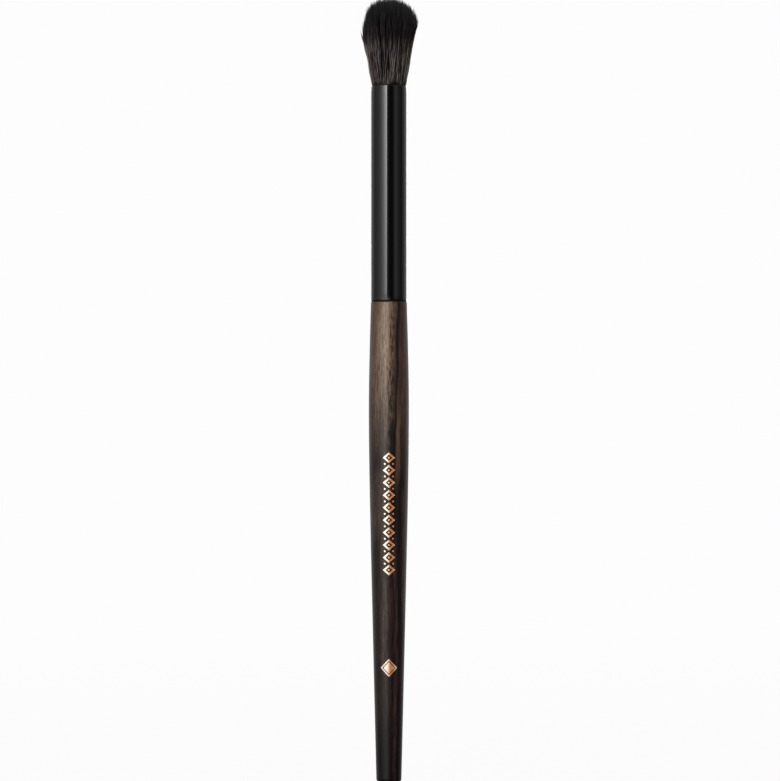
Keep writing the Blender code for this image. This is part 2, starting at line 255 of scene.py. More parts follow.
class Finish:
    """The node tree of a material, a lamp or the world, built up one node at a time."""

    def __init__(self, holder, output):
        holder.use_nodes = True
        self.holder = holder
        self.tree = holder.node_tree
        self.tree.nodes.clear()
        self.output = self.tree.nodes.new(output)

    def node(self, kind, settings, inputs, take=0):
        """Adds a node of a type, sets its settings, then its sockets' values or links. It gives the output
        that take names, or one for each name where take is a tuple."""
        made = self.tree.nodes.new(kind)
        for name, value in settings.items():
            if name == "stops":
                self.set_stops(made.color_ramp, value)
            else:
                setattr(made, name, value)
        for name, value in inputs.items():
            if isinstance(value, Term):
                self.tree.links.new(value.socket, made.inputs[name])
            else:
                made.inputs[name].default_value = value
        if isinstance(take, tuple):
            return [Term(self, made.outputs[name]) for name in take]
        return Term(self, made.outputs[take])

    def set_stops(self, ramp, stops):
        """Gives a colour ramp these (place, colour or number) stops."""
        while len(ramp.elements) < len(stops):
            ramp.elements.new(1.0)
        for element, (place, value) in zip(ramp.elements, stops):
            element.position = place
            element.color = opaque((value,) * 3 if isinstance(value, float) else value)

    def maths(self, operation, *values):
        """One operation on numbers."""
        return self.node("ShaderNodeMath", {"operation": operation}, dict(enumerate(values)))

    def place(self):
        """Object coordinates, which are the CAD frame's, because every piece lies at the origin."""
        return self.node("ShaderNodeTexCoord", {}, {}, take="Object")

    def split(self, place):
        """The three coordinates of a place."""
        return self.node("ShaderNodeSeparateXYZ", {}, {0: place}, take=("X", "Y", "Z"))

    def ramp(self, value, stops):
        """A colour ramp read at a value."""
        return self.node("ShaderNodeValToRGB", {"stops": stops}, {0: value})

    def mix(self, factor, first, second, blend="MIX"):
        """Mixes two colours."""
        settings = {"data_type": "RGBA", "blend_type": blend}
        return self.node("ShaderNodeMix", settings, {0: factor, 6: opaque(first), 7: opaque(second)}, take=2)

    def toned(self, tint, factor, low, high):
        """A colour times a share, which is low where the factor is 0 and high where it is 1."""
        return self.mix(1.0, tint, self.mix(factor, (low,) * 3, (high,) * 3), "MULTIPLY")

    def rise(self, value, low, high):
        """A soft step from 0 at low to 1 at high."""
        settings = {"interpolation_type": "SMOOTHSTEP"}
        return self.node("ShaderNodeMapRange", settings, {"Value": value, "From Min": low, "From Max": high})

    def fall(self, value, low, high):
        """A soft step from 1 at low to 0 at high."""
        return 1 - self.rise(value, low, high)

    def band(self, value, low, high, soft):
        """1 between low and high, with soft edges inside them."""
        return self.rise(value, low, low + soft) * self.fall(value, high - soft, high)

    def noise(self, place, scales, detail=2, roughness=0.5):
        """Smooth noise from 0 to 1, with a scale for each direction, in cells a metre or a map width."""
        cells = self.node("ShaderNodeVectorMath", {"operation": "MULTIPLY"}, {0: place, 1: scales})
        inputs = {"Vector": cells, "Scale": 1.0, "Detail": detail, "Roughness": roughness}
        return self.node("ShaderNodeTexNoise", {"noise_dimensions": "3D"}, inputs)

    def spots(self, place, scales, low, high, detail=2, roughness=0.5):
        """Noise cut to soft-edged spots: 0 where it is under low and 1 where it is over high."""
        return self.rise(self.noise(place, scales, detail, roughness), low, high)

    def bump(self, strength, distance, height):
        """A normal that follows a height."""
        return self.node("ShaderNodeBump", {}, {"Strength": strength, "Distance": distance, "Height": height})

    def glow(self, tint, strength):
        """Light of a colour and strength."""
        return self.node("ShaderNodeEmission", {}, {"Color": opaque(tint), "Strength": strength})

    def shade(self, inputs):
        """Ends the tree in a Principled shader with these sockets, and gives the material."""
        return self.end(self.node("ShaderNodeBsdfPrincipled", {}, inputs))

    def end(self, shader):
        """Links a shader to the output, and gives the material, lamp or world that the tree is for."""
        self.tree.links.new(shader.socket, self.output.inputs["Surface"])
        return self.holder


def opaque(tint):
    """A plain colour with its alpha added, or a term as it is."""
    return tint if isinstance(tint, Term) else (*tint, 1.0)


def scaled(tint, share):
    """A plain colour made darker or lighter."""
    return tuple(share * part for part in tint)


def new_finish(name):
    """The empty node tree of a new material."""
    return Finish(bpy.data.materials.new(name), "ShaderNodeOutputMaterial")


# Surfaces

def circle(angle):
    """Points (cos, sin) of a circle of radius 1."""
    return np.stack([np.cos(angle), np.sin(angle)], -1)


def ring_quads(rings, sides, closed=False):
    """Quads of a tube whose points are numbered ring by ring, as an array (ring, side, corner). Each runs
    along its own ring, over to the next one and back. A closed tube joins its last ring to its first."""
    start = np.arange(rings if closed else rings - 1)[:, None] * sides
    over = (start + sides) % (rings * sides)
    side = np.arange(sides)
    beside = (side + 1) % sides
    return np.stack([start + side, start + beside, over + beside, over + side], -1)


def on_copies(points, faces):
    """The faces of one shape, repeated on each of its copies, which points counts first."""
    starts = np.arange(len(points)) * (points[0].size // 3)
    flat = faces.reshape(-1, faces.shape[-1])
    return (flat + starts[:, None, None]).reshape(-1, faces.shape[-1])


def map_places(across, up):
    """Places on a map, one for each corner of the faces, from two arrays that broadcast together."""
    return np.stack(np.broadcast_arrays(across, up), -1).reshape(-1, 2)


def add_piece(name, points, faces, maps, material):
    """Puts corner arrays into a new smooth mesh object at the origin. faces is a list of index arrays, one
    for each number of corners; maps gives each UV map's places in the order of the faces' corners."""
    corners = np.concatenate([group.ravel() for group in faces])
    counts = np.concatenate([np.full(len(group), group.shape[1]) for group in faces])
    mesh = bpy.data.meshes.new(name)
    mesh.vertices.add(len(points))
    mesh.vertices.foreach_set("co", np.ascontiguousarray(points, np.float32).ravel())
    mesh.loops.add(len(corners))
    mesh.loops.foreach_set("vertex_index", corners.astype(np.int32))
    mesh.polygons.add(len(counts))
    mesh.polygons.foreach_set("loop_start", (np.cumsum(counts) - counts).astype(np.int32))
    mesh.polygons.foreach_set("use_smooth", np.ones(len(counts), bool))
    for map_name, places in maps.items():
        layer = mesh.uv_layers.new(name=map_name)
        layer.uv.foreach_set("vector", np.ascontiguousarray(places, np.float32).ravel())
    mesh.update(calc_edges=True)
    if mesh.validate():
        raise RuntimeError(f"{name} has faulty faces")
    mesh.materials.append(material)
    piece = bpy.data.objects.new(name, mesh)
    bpy.context.scene.collection.objects.link(piece)
    return piece


def dress(piece, slot, *nodes):
    """Makes a piece ride on the brush and stand for CAD nodes, which it hides; the slot is not used."""
    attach(piece, BODY)
    if nodes:
        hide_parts(*nodes)


def turned(name, outline, material, sides=128, ring=False):
    """A turned surface: the outline (radius, height) carried round the Z axis. x = radius * cos(angle),
    y = radius * sin(angle), z = height. An outline that starts and ends on the axis is closed there by fans,
    and a ring outline is closed on itself. On the bake map, angle runs across and the length along the
    outline runs up."""
    outline = np.asarray(outline, float)
    path = np.concatenate([outline, outline[:1]]) if ring else outline
    travelled = np.concatenate([[0.0], np.cumsum(np.linalg.norm(np.diff(path, axis=0), axis=1))])
    travelled /= travelled[-1]
    rows, climb = (outline, travelled) if ring else (outline[1:-1], travelled[1:-1])
    side = np.arange(sides)[:, None]
    around = rows[:, :1, None] * circle(side[:, 0] * math.tau / sides)
    heights = np.broadcast_to(rows[:, 1:, None], (len(rows), sides, 1))
    points = np.concatenate([around, heights], -1).reshape(-1, 3)
    faces = [ring_quads(len(rows), sides, closed=ring).reshape(-1, 4)]
    up = np.stack([climb[:-1], climb[:-1], climb[1:], climb[1:]], -1)[:, None]
    places = [map_places((side + [0, 1, 1, 0]) / sides, up)]
    if not ring:
        beside, last, bottom = (side + 1) % sides, len(points) - sides, len(points)
        faces.append(np.hstack([0 * side + bottom, beside, side]))
        faces.append(np.hstack([last + side, last + beside, 0 * side + bottom + 1]))
        places.append(map_places((side + [0.5, 1, 0]) / sides, [0.0, climb[0], climb[0]]))
        places.append(map_places((side + [0, 1, 0.5]) / sides, [climb[-1], climb[-1], 1.0]))
        points = np.concatenate([points, [(0.0, 0.0, outline[0, 1]), (0.0, 0.0, outline[-1, 1])]])
    return add_piece(name, points, faces, {BAKE_MAP: np.concatenate(places)}, material)


def round_corner(centre, radius, start_degrees, end_degrees, steps=8):
    """Points (radius, height) of a round corner about its centre, from one angle to the other."""
    return radius * circle(np.radians(np.linspace(start_degrees, end_degrees, steps + 1))) + centre


def handle_radius(height, handle):
    """The handle's outer radius at each height: it falls away from the belly both ways as
    sqrt(1 + (way / softness)^2) - 1, scaled to reach the neck and the end, with a softer start upwards."""
    upwards = height >= handle.belly_height
    run = np.where(upwards, handle.shoulder_height - handle.belly_height, handle.belly_height)
    softness = np.where(upwards, 0.6, 0.2)
    drop = handle.belly_radius - np.where(upwards, handle.neck_radius, handle.end_radius)
    way = np.abs(height - handle.belly_height) / run
    fall = np.sqrt(1 + (way / softness) ** 2) - 1
    return handle.belly_radius - drop * fall / (np.sqrt(1 + 1 / softness**2) - 1)


def handle_outline(handle, grip_steps=150):
    """The handle from the middle of its flat end, up the grip and round the shoulder, to the tenon's top."""
    shoulder, end_edge, shoulder_edge = handle.shoulder_height, handle.end_rounding, handle.shoulder_rounding
    heights = np.linspace(end_edge, shoulder - shoulder_edge, grip_steps)
    radii = handle_radius(heights, handle)
    end = round_corner((radii[0] - end_edge, end_edge), end_edge, -90, 0)
    edge = round_corner((radii[-1] - shoulder_edge, heights[-1]), shoulder_edge, 0, 90)
    tenon, recess = handle.tenon_radius, handle.tenon_radius - handle.glue_recess
    top, chamfer, land = HANDLE_TOP.z, 0.5 * MM, handle.tenon_land
    inside = [
        (tenon, shoulder), (tenon, shoulder + land), (recess, shoulder + land), (recess, top - land),
        (tenon, top - land), (tenon, top - chamfer), (tenon - chamfer, top), (0.0, top),
    ]
    disc = [(0.0, 0.0), (0.6 * end[0, 0], 0.0), (0.97 * end[0, 0], 0.0)]
    return np.concatenate([disc, end, np.stack([radii, heights], -1)[1:-1], edge, inside])


def ferrule_outline(ferrule, turn_steps=12, wall_steps=24):
    """The tube's section as a closed loop: up the outside, over the turned-in mouth, down the bore."""
    outer, inner = FERRULE_HIGH.x, FERRULE_HIGH.x - ferrule.wall
    edge, turn = ferrule.edge_rounding, ferrule.mouth_turn_in
    way = np.linspace(0.0, 1.0, turn_steps + 1)[:-1]
    turning = MOUTH - ferrule.mouth_turn_length + (ferrule.mouth_turn_length - edge) * way
    low = round_corner((outer - edge, FERRULE_LOW.z + edge), edge, -90, 0)
    wall = np.linspace(low[-1, 1], turning[0], wall_steps)[1:-1]
    return np.concatenate([
        low,
        np.stack([0 * wall + outer, wall], -1),
        np.stack([outer - turn * way**2, turning], -1),
        round_corner((outer - turn - edge, MOUTH - edge), edge, 0, 90),
        round_corner((inner - turn + edge, MOUTH - edge), edge, 90, 180),
        np.stack([inner - turn * way[::-1] ** 2, turning[::-1]], -1),
        [(inner, 0.5 * (FERRULE_LOW.z + MOUTH)), (inner, FERRULE_LOW.z)],
    ])


def lay_on_handle(across, along, handle, foil):
    """Lays flat places on the front of the handle, as an upper skin and a lower one, which is sunk in the
    wood by three times the lift. A place goes round the handle by across / radius and keeps its height:
    x = radius * sin, y = -radius * cos."""
    skins = []
    for lift in (foil.lift, -3 * foil.lift):
        radius = handle_radius(along, handle) + lift
        angle = across / radius
        skins.append(np.stack([radius * np.sin(angle), -radius * np.cos(angle), along], -1))
    return skins


def film_frames(middles, width, height, opening, handle, foil, sides=32):
    """Open lozenges as closed rings of film. Their outline is across = width * cos |cos|,
    along = height * sin |sin|, which runs straight from corner to corner; the section goes over the upper
    skin and back under the lower one."""
    corner = circle(np.arange(sides) * math.tau / sides)
    across, along = ((width, height) * corner * np.abs(corner)).T
    shares = np.array([opening, 0.5 + 0.5 * opening, 1.0])[:, None]
    upper, lower = lay_on_handle(shares * across, middles[:, None, None] + shares * along, handle, foil)
    points = np.concatenate([upper, lower[:, ::-1]], 1)
    quads = ring_quads(2 * len(shares), sides, closed=True)[..., TURNED_ROUND]
    return points.reshape(-1, 3), on_copies(points, quads)


def film_fields(middles, width, height, rounded, side, handle, foil, grid_points=7):
    """Solid lozenges or dots of film, a distance to the side of the row. A square grid (u, v) from -1 to 1
    becomes a lozenge as (u + v) / 2, (v - u) / 2, or a disc as u * sqrt(1 - v^2 / 2),
    v * sqrt(1 - u^2 / 2)."""
    u, v = np.meshgrid(*[np.linspace(-1, 1, grid_points)] * 2)
    across = np.where(rounded, u * np.sqrt(1 - v**2 / 2), (u + v) / 2)
    along = np.where(rounded, v * np.sqrt(1 - u**2 / 2), (v - u) / 2)
    skins = lay_on_handle(side + width * across, middles[:, None, None] + height * along, handle, foil)
    points = np.stack(skins, 1)
    index = np.arange(u.size).reshape(u.shape)
    sheet = ring_quads(grid_points, grid_points)[:, :-1].reshape(-1, 4)
    rim = np.concatenate([index[0, :-1], index[:-1, -1], index[-1, :0:-1], index[:0:-1, 0]])
    wall = np.stack([rim, rim + u.size, np.roll(rim, -1) + u.size, np.roll(rim, -1)], -1)
    return points.reshape(-1, 3), on_copies(points, np.concatenate([sheet, sheet[:, ::-1] + u.size, wall]))


# Hair

def smooth_rise(value, low, high):
    """A soft step from 0 at low to 1 at high: 3 t^2 - 2 t^3."""
    way = np.clip((value - low) / (high - low), 0.0, 1.0)
    return way * way * (3 - 2 * way)


def tuft_radius(height, angle, hair):
    """The outline of the tuft at each height above the mouth and each angle, worked out in mm. It swells
    over the lip, which dies away over two lengths, runs out in a straight flare, start + slope * height, and
    is held at the belly radius by a soft minimum. Near the belly it leans to +X."""
    start, slope, swell, firmness = 3.68, 0.18, 0.13, 9
    lip_length, mouth_length = 1.8, 0.12
    above = np.maximum(height, 0.0) / MM
    squeeze = start + swell - hair.root_radius / MM
    lip = swell * np.exp(-above / lip_length) - squeeze * np.exp(-above / mouth_length)
    flare = start + slope * above + lip
    most = hair.belly_radius / MM + 0.03
    held = -np.log(np.exp(-firmness * flare) + np.exp(-firmness * most)) / firmness
    lean = hair.lean_share * np.exp(-(((height - hair.belly_reach - 0.001) / 0.0022) ** 2))
    return held * MM * (1 + lean * np.cos(angle))


def sunflower(numbers, total, turn=0.0):
    """Places spread evenly over a disc of radius 1: radius = sqrt((number + 0.5) / total) and
    angle = number * golden angle + turn."""
    return np.sqrt((numbers + 0.5) / total)[:, None] * circle(numbers * GOLDEN_ANGLE + turn)


def nearest(places, middles, batches=40):
    """The number of the middle that is nearest to each place, worked out in batches to save memory."""
    parts = np.array_split(places, batches)
    return np.concatenate([np.argmin(((part[:, None] - middles) ** 2).sum(-1), axis=1) for part in parts])


def lock_figures(hair):
    """What the strands of each fine lock share: its middle on the disc, how its tip stands up and drifts,
    and the phase, heading and turns of its wave."""
    draw = np.random.default_rng(LOCK_SEED)
    middles = sunflower(np.arange(hair.locks), hair.locks, 0.4) + draw.normal(0, 0.01, (hair.locks, 2))
    rise, drift = draw.normal(0, 1, hair.locks), draw.normal(0, 1, (hair.locks, 2))
    phase, heading = draw.uniform(0, math.tau, (2, hair.locks))
    return middles, rise, drift, phase, heading, draw.uniform(0.8, 2.2, hair.locks)


def waved(way, size, turns, phase, heading):
    """A sideways wave up each strand, which all but dies away at both ends:
    sin(pi * way) * size * sin(tau * turns * way + phase), towards its heading."""
    swing = size * np.sin(math.tau * turns[:, None, None] * way + phase[:, None, None])
    return np.sin(math.pi * np.minimum(way, 0.98)) * swing * circle(heading)[:, None]


def strand_paths(numbers, hair, seed, cut=1.0):
    """Centre lines of strands, as an array (strand, step, xyz), and each one's angle round the tuft. A
    strand keeps its share of the tuft's radius on a sunflower spiral, from inside the mouth up to a dome:
    top = belly + dome * sqrt(1 - share^2.4). It draws towards its lock and waves with it, opens a little
    above the middle, and closes again at the tip, so that the dome ends in small points. cut shortens it to
    that share."""
    draw = np.random.default_rng(seed)
    count = len(numbers)
    place = sunflower(numbers, hair.strands)
    spread = np.linalg.norm(place, axis=-1)
    figures = lock_figures(hair)
    lock = nearest(place, figures[0])
    middle, rise, drift, phase, heading, turns = (figure[lock] for figure in figures)
    top = hair.belly_reach + (hair.reach - hair.belly_reach) * np.sqrt(1 - spread**2.4)
    top += spread * LOCK_RISE * rise + draw.uniform(*STRAND_RISE, count)
    top = np.minimum(top, hair.reach - 0.00002) * cut
    height = np.concatenate([np.full((count, 1), -ROOT_DEPTH), top[:, None] * STRAND_STEPS], 1)
    way = np.clip(height / top[:, None], 0, 1)[..., None]
    closing = smooth_rise(way, 0.45, 1.0)
    gather = 0.9 * smooth_rise(way, -0.05, 0.15) - 0.12 * np.sin(math.pi * closing) - 0.24 * closing
    angle = np.arctan2(place[:, 1], place[:, 0])
    line = place[:, None] + gather * (middle - place)[:, None]
    line = line * tuft_radius(height, angle[:, None], hair)[..., None]
    bend = way**2
    line += LOCK_DRIFT * drift[:, None] * bend + STRAND_DRIFT * draw.normal(0, 1, (count, 1, 2)) * bend
    line += waved(way, LOCK_WAVE, turns, phase, heading)
    line += waved(way, STRAND_WAVE, np.full(count, STRAND_TURNS), *draw.uniform(0, math.tau, (2, count)))
    lock_angle = np.arctan2(middle[:, 1], middle[:, 0]) + draw.uniform(-0.012, 0.012, count)
    return np.concatenate([line, height[..., None] + MOUTH], -1), lock_angle


def cover_paths(hair):
    """Centre lines of thin locks of four hairs on the outside of the tuft, which cross the locks under them.
    Each is turned about the axis by slide * (sin(tau * turns * way + phase) - sin(phase)), and takes the tone
    of a lock some way round."""
    draw = np.random.default_rng(COVER_SEED)
    each = np.repeat(np.arange(hair.cover_locks), HAIRS_EACH)
    outermost = hair.strands // 12
    numbers = hair.strands - 1 - draw.permutation(outermost)[: hair.cover_locks][each]
    paths, angle = strand_paths(numbers, hair, COVER_SEED + 1)
    way = np.clip((paths[..., 2] - MOUTH) / hair.reach, 0, 1)
    phase = draw.uniform(0, math.tau, hair.cover_locks)[each, None]
    turns = draw.uniform(0.4, 1.2, hair.cover_locks)[each, None]
    slide = draw.normal(0, COVER_SLIDE, hair.cover_locks)[each, None]
    slide = slide * (np.sin(math.tau * turns * way + phase) - np.sin(phase))
    stand = 1 + draw.uniform(0.0, COVER_STAND, (len(each), 1)) * smooth_rise(way, 0.0, 0.12)
    x, y = paths[..., 0].copy(), paths[..., 1].copy()
    paths[..., 0] = stand * (x * np.cos(slide) - y * np.sin(slide))
    paths[..., 1] = stand * (x * np.sin(slide) + y * np.cos(slide))
    return paths, angle[::HAIRS_EACH][each] + draw.uniform(-0.25, 0.25, hair.cover_locks)[each]


def wisp_paths(hair):
    """Centre lines of wisps of four hairs that stand away from the outline. They start in the outer layer
    and bend out with the fourth power of the way up. Those on the -X side end lower and bend further, which
    frays this flank."""
    draw = np.random.default_rng(WISP_SEED)
    each = np.repeat(np.arange(hair.wisps), HAIRS_EACH)
    outermost = hair.strands // 20
    numbers = hair.strands - 1 - draw.permutation(outermost)[: hair.wisps]
    frayed = np.cos(numbers * GOLDEN_ANGLE) < -0.7
    cut = np.where(frayed, draw.uniform(0.74, 1.0, hair.wisps), 1.0) * draw.uniform(0.98, 1.02, hair.wisps)
    paths, angle = strand_paths(numbers[each], hair, WISP_SEED + 1, cut[each])
    way = np.clip((paths[..., 2] - MOUTH) / (paths[:, -1:, 2] - MOUTH), 0, 1)
    bend = draw.uniform(*WISP_BEND, hair.wisps) + frayed * draw.uniform(*FRAYED_BEND, hair.wisps)
    away = circle(numbers * GOLDEN_ANGLE + draw.normal(0, 0.4, hair.wisps)) * bend[:, None]
    paths[..., :2] += away[each][:, None] * (way**4)[..., None]
    paths[..., 2] = np.minimum(paths[..., 2], HAIR_TOP)
    return paths, angle


def strand_places(paths, angle):
    """Each face corner's place on the strand map. The strand's angle round the tuft picks a column, and
    height above the mouth runs up. The faces are each strand's quads, ring by ring, then its tip and its
    root."""
    column = ((np.floor(angle / math.tau % 1 * MAP_COLUMNS) + 0.5) / MAP_COLUMNS)[:, None, None]
    half = 0.4 / MAP_COLUMNS
    climb = np.clip((paths[..., 2] - MOUTH) / MAP_HEIGHT + MAP_MOUTH, 0.0, 1.0)
    low, high = climb[:, :-2], climb[:, 1:-1]
    quads = map_places(
        (column + half * np.array([-1, 1, 1, -1]))[..., None, :],
        np.stack([low, low, high, high], -1)[:, :, None].repeat(3, 2),
    )
    tip = climb[:, [-2, -2, -1]]
    root = climb[:, [0, 0, 0]] + [0, 0, 0.004]
    triangles = map_places(column + half * np.array([-1, 1, 0]), np.stack([tip, tip, tip, root], 1))
    return np.concatenate([quads, triangles])


def strand_tubes(name, paths, angle, hair, material, girth=1.0):
    """Three-sided closed tubes along centre lines. A ring is centre + radius * (cos * side + sin * front),
    where side and front are square to the line; the radius swells from the root, then falls to a point at
    the tip."""
    count, steps = paths.shape[:2]
    draw = np.random.default_rng(len(name))
    along = unit(np.gradient(paths, axis=1))
    side = unit(np.cross(along, (0.0, 1.0, 0.0)))
    front = np.cross(along, side)
    thickness = np.interp(np.linspace(0, 1, steps), (0, 0.3, 0.75, 1), (0.75, 1.0, 0.95, 0.3))
    radius = girth * hair.strand_radius * thickness * draw.uniform(0.75, 1.2, (count, 1))
    corner = np.arange(3)
    turn = circle(draw.uniform(0, math.tau, (count, 1)) + corner * math.tau / 3)[:, None]
    ring = turn[..., :1] * side[:, :, None] + turn[..., 1:] * front[:, :, None]
    rings = paths[:, :-1, None] + radius[:, :-1, None, None] * ring[:, :-1]
    points = np.concatenate([rings.reshape(count, -1, 3), paths[:, -1:]], 1)
    last = 3 * (steps - 2)
    tip = np.stack([last + corner, last + (corner + 1) % 3, 0 * corner + last + 3], -1)
    faces = [on_copies(points, ring_quads(steps - 1, 3)), on_copies(points, np.vstack([tip, [2, 1, 0]]))]
    places = strand_places(paths, angle)
    return add_piece(name, points.reshape(-1, 3), faces, {STRAND_MAP: places, BAKE_MAP: places}, material)


def unit(vectors):
    """Vectors brought to length 1."""
    return vectors / np.linalg.norm(vectors, axis=-1, keepdims=True)


# Finishes

def wood_finish(handle):
    """Dark streaked wood under satin lacquer. The figure is a ramp over wavy sheets that stand nearly
    upright: sheet = 0.95 x + 0.3 y - 0.045 climb + noise, where climb is the height over 87 mm, held from
    78 mm down. Long streaks, short pores and a fall of tone with height, later on the flanks, are laid over
    it. Low down a soft brown glow runs left of the middle, partly lighter wood and partly a painted
    highlight where the left softbox's reflection falls, and a red streak runs right of it. The grain also
    gives a fine bump and an uneven roughness."""
    finish = new_finish("satin_lacquered_wood")
    pale, brown, red, black = handle.pale_wood, handle.brown_wood, handle.red_wood, handle.black_wood
    place = finish.place()
    x, y, z = finish.split(place)
    slow = finish.noise(place, (160, 160, 34), detail=3)
    wavy = finish.noise(place, (700, 700, 130), detail=3)
    climb = finish.maths("MAXIMUM", z, 0.078) - 0.087
    sheet = 0.95 * x + 0.3 * y - 0.045 * climb + 0.0024 * (slow - 0.5) + 0.0011 * (wavy - 0.5)
    across = sheet / 0.009 + 0.5
    figure = finish.ramp(across, [
        (0.00, scaled(brown, 0.85)), (0.045, brown), (0.11, scaled(pale, 0.75)), (0.20, pale), (0.30, pale),
        (0.40, brown), (0.485, scaled(brown, 0.6)), (0.503, black), (0.56, black), (0.59, red),
        (0.68, scaled(red, 0.8)), (0.74, scaled(brown, 0.8)), (0.82, scaled(brown, 0.45)), (1.00, brown),
    ])
    streaks = finish.spots(place, (2300, 2300, 75), 0.3, 0.7, detail=4, roughness=0.6)
    threads = finish.spots(place, (4700, 4700, 300), 0.38, 0.62, detail=3, roughness=0.65)
    glints = finish.spots(place, (4300, 4300, 1300), 0.56, 0.66, detail=1)
    pores = finish.spots(place, (5200, 5200, 700), 0.58, 0.66, detail=1)
    dashes = finish.spots(place, (3900, 3900, 620), 0.5, 0.58, detail=1)
    dashes = dashes * finish.band(across, 0.29, 0.5, 0.05)
    height = z + 0.02 * (finish.noise(place, (230, 230, 60)) - 0.5)
    low_down = finish.fall(height, 0.078, 0.090)
    drift = across + 0.035 * finish.fall(z, 0.077, 0.082)
    inky = low_down * finish.band(drift, 0.42, 0.57, 0.03)
    ember = low_down * finish.rise(height, 0.060, 0.072) * finish.band(drift, 0.56, 0.72, 0.03)
    reddish = 0.75 * finish.spots(place, (800, 800, 24), 0.5, 0.62)
    reddish = reddish * finish.band(across, 0.15, 0.86, 0.06) * finish.rise(height, 0.006, 0.02)
    reddish = reddish * (1 - 0.8 * finish.band(across, 0.46, 0.54, 0.03))
    sidestep = 0.04 * finish.rise(z, 0.030, 0.042) - 0.03 * finish.fall(z, 0.006, 0.016)
    streak = finish.band(across + sidestep, 0.545, 0.655, 0.03) * finish.fall(height, 0.048, 0.062)
    streak = streak * (0.45 + 0.55 * finish.spots(place, (900, 900, 90), 0.4, 0.55))
    right_streak = finish.rise(across, 0.70, 0.84) * finish.band(height, 0.036, 0.068, 0.008)
    streak = finish.maths("MAXIMUM", streak, right_streak)
    # The glow lightens the wood left of the middle, where the left softbox's reflection falls: partly lighter
    # wood, partly painted highlight.
    glow_edge = across - 0.09 * finish.fall(z, 0.016, 0.036)
    glow = finish.rise(height, 0.006, 0.016) * finish.rise(glow_edge, 0.18, 0.28)
    glow = glow * finish.fall(across, 0.42, 0.52)
    patch = finish.fall(across, 0.16, 0.3) * finish.band(height, 0.053, 0.072, 0.006)
    shoulder = height + 1.3 * x + 500.0 * x * x
    above_end = finish.rise(height, 0.004, 0.017)
    tone = 0.03 * above_end + 0.13 * (glow + patch) + 0.84 * finish.rise(shoulder, 0.069, 0.098)
    depth = tone * (0.6 + 0.64 * streaks) * (0.66 + 0.56 * threads) * (1 - 0.4 * pores) * (1 - 0.75 * dashes)
    depth = depth * (1 - 0.75 * inky) * (1 + 0.4 * glints) + 0.42 * ember
    wood = finish.mix(reddish, black, (0.026, 0.0095, 0.0075))
    wood = finish.mix(streak * (0.7 + 0.6 * finish.rise(z, 0.028, 0.036)), wood, (0.042, 0.019, 0.0155))
    wood = finish.toned(wood, threads * above_end, 0.5, 1.4)
    wood = finish.mix(depth, wood, finish.mix(ember, figure, brown))
    grain = 0.5 * streaks + 0.5 * threads - 0.9 * pores - 0.5 * dashes
    return finish.shade({
        "Base Color": wood,
        "Roughness": 0.38 + 0.14 * streaks,
        "Specular IOR Level": 0.1,
        "Normal": finish.bump(0.4, 0.04 * MM, grain),
        "Coat Weight": 0.5,
        "Coat Roughness": handle.lacquer_roughness,
    })


def lacquer_finish(ferrule):
    """Gloss black lacquer, with a little dust in its tone and its roughness."""
    finish = new_finish("gloss_black_lacquer")
    haze = finish.noise(finish.place(), (2400, 2400, 160), detail=3)
    return finish.shade({
        "Base Color": finish.mix(haze, ferrule.lacquer, scaled(ferrule.lacquer, 1.4)),
        "Roughness": ferrule.lacquer_roughness + 0.05 * haze,
        "Specular IOR Level": 0.5,
    })


def seat_finish():
    """A dark, dull and a little uneven ring that fills the gap where the ferrule sits on the wood: painted
    shade of the gap.
    """
    finish = new_finish("seat_gap_shade")
    mottle = finish.noise(finish.place(), (2500, 2500, 2500))
    tint = finish.mix(mottle, (0.002, 0.0018, 0.0018), (0.006, 0.0045, 0.004))
    return finish.shade({"Base Color": tint, "Roughness": 0.45 + 0.2 * mottle, "Specular IOR Level": 0.2})


def foil_finish(foil):
    """Hot-stamped copper film, a little uneven in tone and gloss, with a few pinholes' worth of darker
    specks. Its tint is a deep copper band right of the middle and pale elsewhere; the pale tint is a painted
    highlight, which stands in for the softboxes' reflections in the film where it wraps round the wood."""
    finish = new_finish("copper_film")
    place = finish.place()
    mottle = finish.noise(place, (1800, 1800, 900), detail=3)
    specks = finish.spots(place, (9000, 9000, 5000), 0.66, 0.74, detail=1)
    side = finish.split(place)[0] + 0.0012 * (mottle - 0.5)
    # The pale tint outside the deep copper band is a painted highlight for the softboxes' reflections.
    copper_with_highlight = finish.mix(finish.band(side, -0.0002, 0.0014, 0.0005), foil.highlight_copper, foil.copper)
    return finish.shade({
        "Base Color": finish.mix(0.5 * specks, copper_with_highlight, (0.2, 0.09, 0.05)),
        "Metallic": 0.45,
        "Roughness": foil.roughness + 0.1 * mottle,
        "Normal": finish.bump(0.3, 0.02 * MM, mottle),
    })


